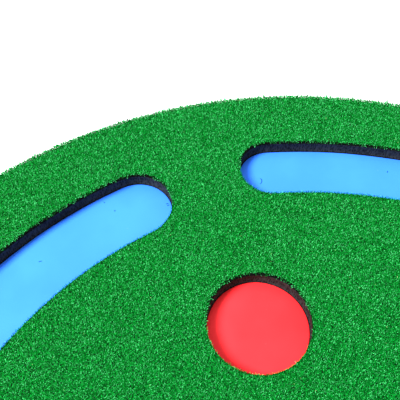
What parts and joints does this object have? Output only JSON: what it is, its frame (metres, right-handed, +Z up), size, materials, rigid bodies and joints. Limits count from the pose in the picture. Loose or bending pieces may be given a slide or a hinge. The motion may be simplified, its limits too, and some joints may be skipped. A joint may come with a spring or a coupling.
{
  "type": "practice putting mat",
  "caption": "Roll-out practice green: wide rounded head with a cup and curved water-hazard recesses, narrower putting lane, foam-backed turf on a grip sheet.",
  "frame": {"origin": "on the floor, at the centre of the mat's length and width", "axes": "+Y along the mat towards the wide head, +X to the right when looking at the head from the lane, +Z up"},
  "size_m": [0.914, 2.74, 0.0264],
  "materials": {
    "turf": "short curly tufted putting turf",
    "black_foam": "cut closed-cell foam, matt",
    "grip_rubber": "dimpled non-slip sheet, matt",
    "blue_foam": "smooth closed-cell foam sheet, satin",
    "red_foam": "smooth closed-cell foam sheet, satin"
  },
  "bodies": {
    "root": {"turf": "turf", "foam_core": "black_foam", "lower_foam": "black_foam", "grip_sheet": "grip_rubber", "left_hazard_bed": "blue_foam", "right_hazard_bed": "blue_foam", "cup_bed": "red_foam"}
  },
  "joints": []
}
